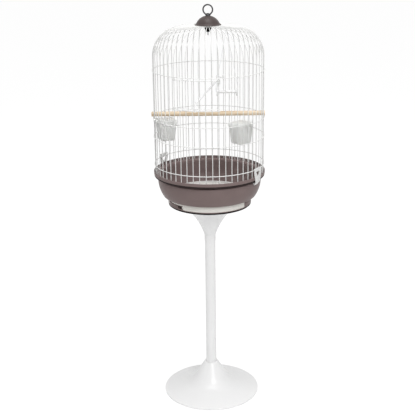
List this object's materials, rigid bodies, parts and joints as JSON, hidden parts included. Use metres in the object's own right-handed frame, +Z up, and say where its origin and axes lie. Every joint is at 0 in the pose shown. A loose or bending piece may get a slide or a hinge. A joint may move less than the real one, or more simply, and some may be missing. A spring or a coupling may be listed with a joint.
{
  "type": "bird cage",
  "caption": "Round wire bird cage with a domed top and hanging ring, on a deep bowl base with a drawer, carried by a round column on a trumpet foot, with perches, swing and cups.",
  "frame": {"origin": "centre of the floor under the round foot", "axes": "+Z up, -Y towards the door and drawer, +X to the right seen from the front"},
  "size_m": [0.404, 0.4047, 1.4834],
  "materials": {
    "white_plastic": "smooth white moulding",
    "white_steel": "white powder coat",
    "white_grille": "white powder coat",
    "dark_steel": "dark wire and plate",
    "bright_steel": "zinc plated",
    "brown_plastic": "satin taupe brown moulding",
    "dark_plastic": "satin black-brown moulding",
    "pale_plastic": "satin warm grey moulding",
    "clear_plastic": "cloudy see-through moulding",
    "pale_wood": "bare turned softwood"
  },
  "bodies": {
    "cage": {"foot": "white_plastic", "base_plate": "dark_steel", "column": "white_steel", "column_plug": "bright_steel", "base_bolt": "bright_steel", "column_collar": "white_plastic", "stand_head": "white_plastic", "head_screws": "bright_steel", "drawer_housing": "brown_plastic", "bowl": "brown_plastic", "floor_grille": "white_grille", "wires_right": "white_steel", "wires_back": "white_steel", "wires_left": "white_steel", "wires_over_door": "white_steel", "wires_under_door": "white_steel", "ring_upper": "white_steel", "ring_perch": "white_steel", "ring_cups": "white_steel", "ring_clips": "white_steel", "ring_foot": "white_steel", "door_sill": "white_steel", "crown_plate": "dark_steel", "cap": "brown_plastic", "hanging_ring": "dark_steel", "crown_nut": "dark_plastic", "rod_perch": "white_plastic"},
    "drawer": {"drawer_tray": "pale_plastic", "drawer_front": "pale_plastic", "drawer_pull": "dark_plastic"},
    "door": {"door_wires": "white_steel", "door_rails": "white_steel", "door_catch": "clear_plastic"},
    "swing": {"swing_bar": "white_plastic", "swing_flanges": "white_plastic", "swing_bail": "bright_steel"},
    "perch": {"wooden_perch": "pale_wood"},
    "cup_left": {"cup_left": "clear_plastic", "cup_hood_left": "clear_plastic"},
    "cup_right": {"cup_right": "clear_plastic", "cup_hood_right": "clear_plastic"},
    "clip_left": {"clip_left": "white_plastic"},
    "clip_right": {"clip_right": "white_plastic"}
  },
  "joints": [
    {"name": "drawer_slide", "type": "slide", "parent": "cage", "child": "drawer", "axis": [0, -1, 0], "range_m": [0, 0.2]},
    {"name": "door_swing", "type": "hinge", "parent": "cage", "child": "door", "pos_m": [-0.07763, -0.17997, 1.2], "axis": [0, 0, -1], "range_deg": [0, 120]},
    {"name": "swing_rock", "type": "hinge", "parent": "cage", "child": "swing", "pos_m": [0.06325, 0.01499, 1.40996], "axis": [0.973, 0.2306, 0], "range_deg": [-18, 18]},
    {"name": "perch_lift", "type": "slide", "parent": "cage", "child": "perch", "axis": [0, 0, 1], "range_m": [0, 0.05]},
    {"name": "cup_left_lift", "type": "slide", "parent": "cage", "child": "cup_left", "axis": [0, 0, 1], "range_m": [0, 0.02]},
    {"name": "cup_right_lift", "type": "slide", "parent": "cage", "child": "cup_right", "axis": [0, 0, 1], "range_m": [0, 0.02]},
    {"name": "clip_left_turn", "type": "hinge", "parent": "cage", "child": "clip_left", "pos_m": [-0.18653, 0.06789, 0.918], "axis": [0.342, 0.9397, 0], "range_deg": [0, 35]},
    {"name": "clip_right_turn", "type": "hinge", "parent": "cage", "child": "clip_right", "pos_m": [0.18653, -0.06789, 0.918], "axis": [-0.342, -0.9397, 0], "range_deg": [0, 35]}
  ]
}
